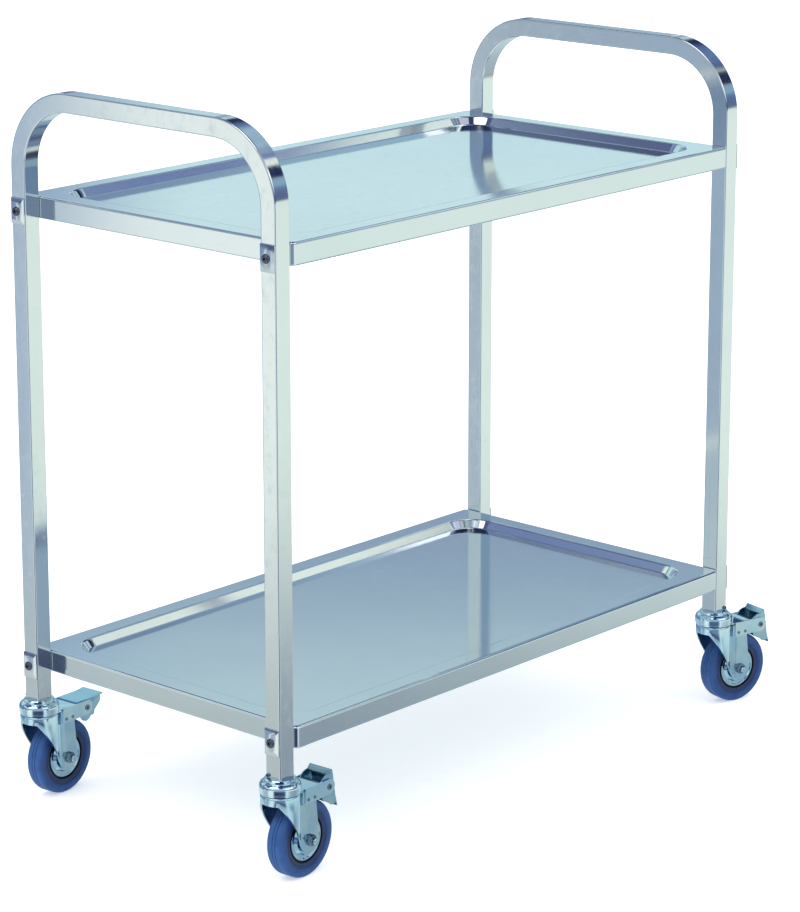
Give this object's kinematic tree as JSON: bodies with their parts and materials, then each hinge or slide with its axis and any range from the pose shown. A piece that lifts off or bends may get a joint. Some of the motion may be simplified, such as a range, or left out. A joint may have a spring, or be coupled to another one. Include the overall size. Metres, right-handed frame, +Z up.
{
  "type": "serving trolley",
  "caption": "Stainless steel serving trolley: two bent tube end frames, two recessed pressed trays clamped between them, swivel castors with foot brakes.",
  "frame": {"origin": "on the floor, under the middle of the whole trolley's box with the castors as they stand; the middle of the tube frames is at X -0.039 m, Y +0.006 m", "axes": "+X along the trolley from the left end frame to the right one, +Y across it from the side that is seen first to the far side, +Z up"},
  "size_m": [1.0204, 0.5022, 0.95],
  "materials": {
    "tube_steel": "satin ground stainless tube",
    "tray_steel": "fine matt stainless sheet",
    "clamp_steel": "polished pressed plate",
    "screw_steel": "turned stainless screw",
    "zinc_pressed": "bright blue-passivated zinc on pressed steel",
    "zinc_turned": "bright zinc on turned steel",
    "pin_steel": "zinc-plated rivets and pins",
    "ball_steel": "polished bearing balls",
    "tyre_rubber": "blue-grey non-marking rubber"
  },
  "bodies": {
    "cart": {"end_frame_left": "tube_steel", "end_frame_right": "tube_steel", "upper_tray": "tray_steel", "lower_tray": "tray_steel", "clamp_plates": "clamp_steel", "clamp_screws": "screw_steel", "clamp_nuts": "screw_steel", "plug_lock_pins": "pin_steel", "swivel_balls": "ball_steel", "castor_plug_front_left": "zinc_turned", "castor_plug_front_right": "zinc_turned", "castor_plug_rear_left": "zinc_turned", "castor_plug_rear_right": "zinc_turned", "swivel_cap_front_left": "zinc_pressed", "swivel_cap_front_right": "zinc_pressed", "swivel_cap_rear_left": "zinc_pressed", "swivel_cap_rear_right": "zinc_pressed"},
    "swivel_front_left": {"fork_front_left": "zinc_pressed", "brake_bracket_front_left": "zinc_pressed", "bracket_rivets_front_left": "pin_steel", "pedal_pin_front_left": "pin_steel", "axle_bolt_front_left": "zinc_turned", "axle_nut_front_left": "zinc_turned", "bearing_sleeve_front_left": "zinc_turned"},
    "wheel_front_left": {"wheel_discs_front_left": "zinc_pressed", "tyre_front_left": "tyre_rubber"},
    "pedal_front_left": {"brake_pedal_front_left": "zinc_pressed"},
    "swivel_front_right": {"fork_front_right": "zinc_pressed", "brake_bracket_front_right": "zinc_pressed", "bracket_rivets_front_right": "pin_steel", "pedal_pin_front_right": "pin_steel", "axle_bolt_front_right": "zinc_turned", "axle_nut_front_right": "zinc_turned", "bearing_sleeve_front_right": "zinc_turned"},
    "wheel_front_right": {"wheel_discs_front_right": "zinc_pressed", "tyre_front_right": "tyre_rubber"},
    "pedal_front_right": {"brake_pedal_front_right": "zinc_pressed"},
    "swivel_rear_left": {"fork_rear_left": "zinc_pressed", "brake_bracket_rear_left": "zinc_pressed", "bracket_rivets_rear_left": "pin_steel", "pedal_pin_rear_left": "pin_steel", "axle_bolt_rear_left": "zinc_turned", "axle_nut_rear_left": "zinc_turned", "bearing_sleeve_rear_left": "zinc_turned"},
    "wheel_rear_left": {"wheel_discs_rear_left": "zinc_pressed", "tyre_rear_left": "tyre_rubber"},
    "pedal_rear_left": {"brake_pedal_rear_left": "zinc_pressed"},
    "swivel_rear_right": {"fork_rear_right": "zinc_pressed", "brake_bracket_rear_right": "zinc_pressed", "bracket_rivets_rear_right": "pin_steel", "pedal_pin_rear_right": "pin_steel", "axle_bolt_rear_right": "zinc_turned", "axle_nut_rear_right": "zinc_turned", "bearing_sleeve_rear_right": "zinc_turned"},
    "wheel_rear_right": {"wheel_discs_rear_right": "zinc_pressed", "tyre_rear_right": "tyre_rubber"},
    "pedal_rear_right": {"brake_pedal_rear_right": "zinc_pressed"}
  },
  "joints": [
    {"name": "front_left_swivel", "type": "hinge", "parent": "cart", "child": "swivel_front_left", "pos_m": [-0.48405, -0.21238, 0.1196], "axis": [0, 0, 1], "continuous": true},
    {"name": "front_left_wheel_spin", "type": "hinge", "parent": "swivel_front_left", "child": "wheel_front_left", "pos_m": [-0.4481, -0.2105, 0.05], "axis": [-0.0523, 0.9986, 0], "continuous": true},
    {"name": "front_left_brake", "type": "hinge", "parent": "swivel_front_left", "child": "pedal_front_left", "pos_m": [-0.41315, -0.20866, 0.11], "axis": [-0.0523, 0.9986, 0], "range_deg": [-80, 0]},
    {"name": "front_right_swivel", "type": "hinge", "parent": "cart", "child": "swivel_front_right", "pos_m": [0.40695, -0.21238, 0.1196], "axis": [0, 0, 1], "continuous": true},
    {"name": "front_right_wheel_spin", "type": "hinge", "parent": "swivel_front_right", "child": "wheel_front_right", "pos_m": [0.44188, -0.22109, 0.05], "axis": [0.2419, 0.9703, 0], "continuous": true},
    {"name": "front_right_brake", "type": "hinge", "parent": "swivel_front_right", "child": "pedal_front_right", "pos_m": [0.47584, -0.22956, 0.11], "axis": [0.2419, 0.9703, 0], "range_deg": [-80, 0]},
    {"name": "rear_left_swivel", "type": "hinge", "parent": "cart", "child": "swivel_rear_left", "pos_m": [-0.48405, 0.22462, 0.1196], "axis": [0, 0, 1], "continuous": true},
    {"name": "rear_left_wheel_spin", "type": "hinge", "parent": "swivel_rear_left", "child": "wheel_rear_left", "pos_m": [-0.44814, 0.22713, 0.05], "axis": [-0.0698, 0.9976, 0], "continuous": true},
    {"name": "rear_left_brake", "type": "hinge", "parent": "swivel_rear_left", "child": "pedal_rear_left", "pos_m": [-0.41322, 0.22957, 0.11], "axis": [-0.0698, 0.9976, 0], "range_deg": [0, 80]},
    {"name": "rear_right_swivel", "type": "hinge", "parent": "cart", "child": "swivel_rear_right", "pos_m": [0.40695, 0.22462, 0.1196], "axis": [0, 0, 1], "continuous": true},
    {"name": "rear_right_wheel_spin", "type": "hinge", "parent": "swivel_rear_right", "child": "wheel_rear_right", "pos_m": [0.44295, 0.22462, 0.05], "axis": [0, 1, 0], "continuous": true},
    {"name": "rear_right_brake", "type": "hinge", "parent": "swivel_rear_right", "child": "pedal_rear_right", "pos_m": [0.47795, 0.22462, 0.11], "axis": [0, 1, 0], "range_deg": [0, 80]}
  ]
}
